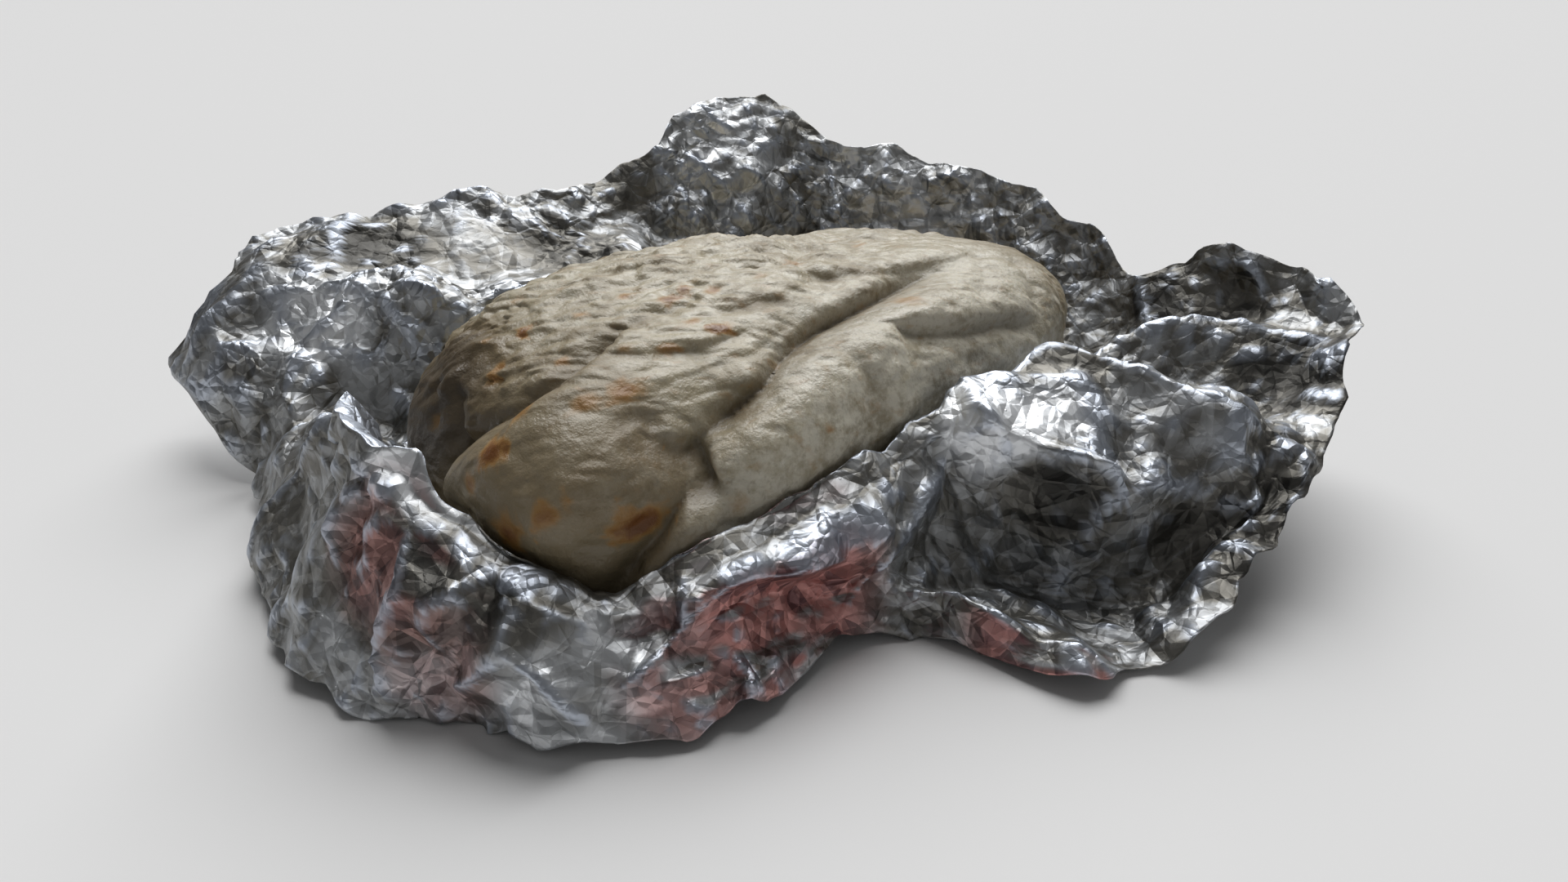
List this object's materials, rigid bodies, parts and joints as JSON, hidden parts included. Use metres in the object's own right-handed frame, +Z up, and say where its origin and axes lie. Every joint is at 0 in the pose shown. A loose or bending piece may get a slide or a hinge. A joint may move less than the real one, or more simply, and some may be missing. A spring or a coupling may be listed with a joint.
{
  "type": "burrito",
  "caption": "Folded flour-tortilla burrito lying in an opened, crumpled sheet of aluminium foil that stands up round it.",
  "frame": {"origin": "middle of the whole part's box, on the surface that the foil lies on", "axes": "+Z up, +X along the burrito away from the end with the tucked flap, +Y across it towards the broad raised flap of foil"},
  "size_m": [0.2152, 0.2252, 0.0679],
  "materials": {
    "tortilla": "soft steamed flour tortilla with small toasted spots",
    "foil": "crumpled kitchen foil, finely embossed"
  },
  "bodies": {
    "root": {"burrito": "tortilla", "foil": "foil"}
  },
  "joints": []
}
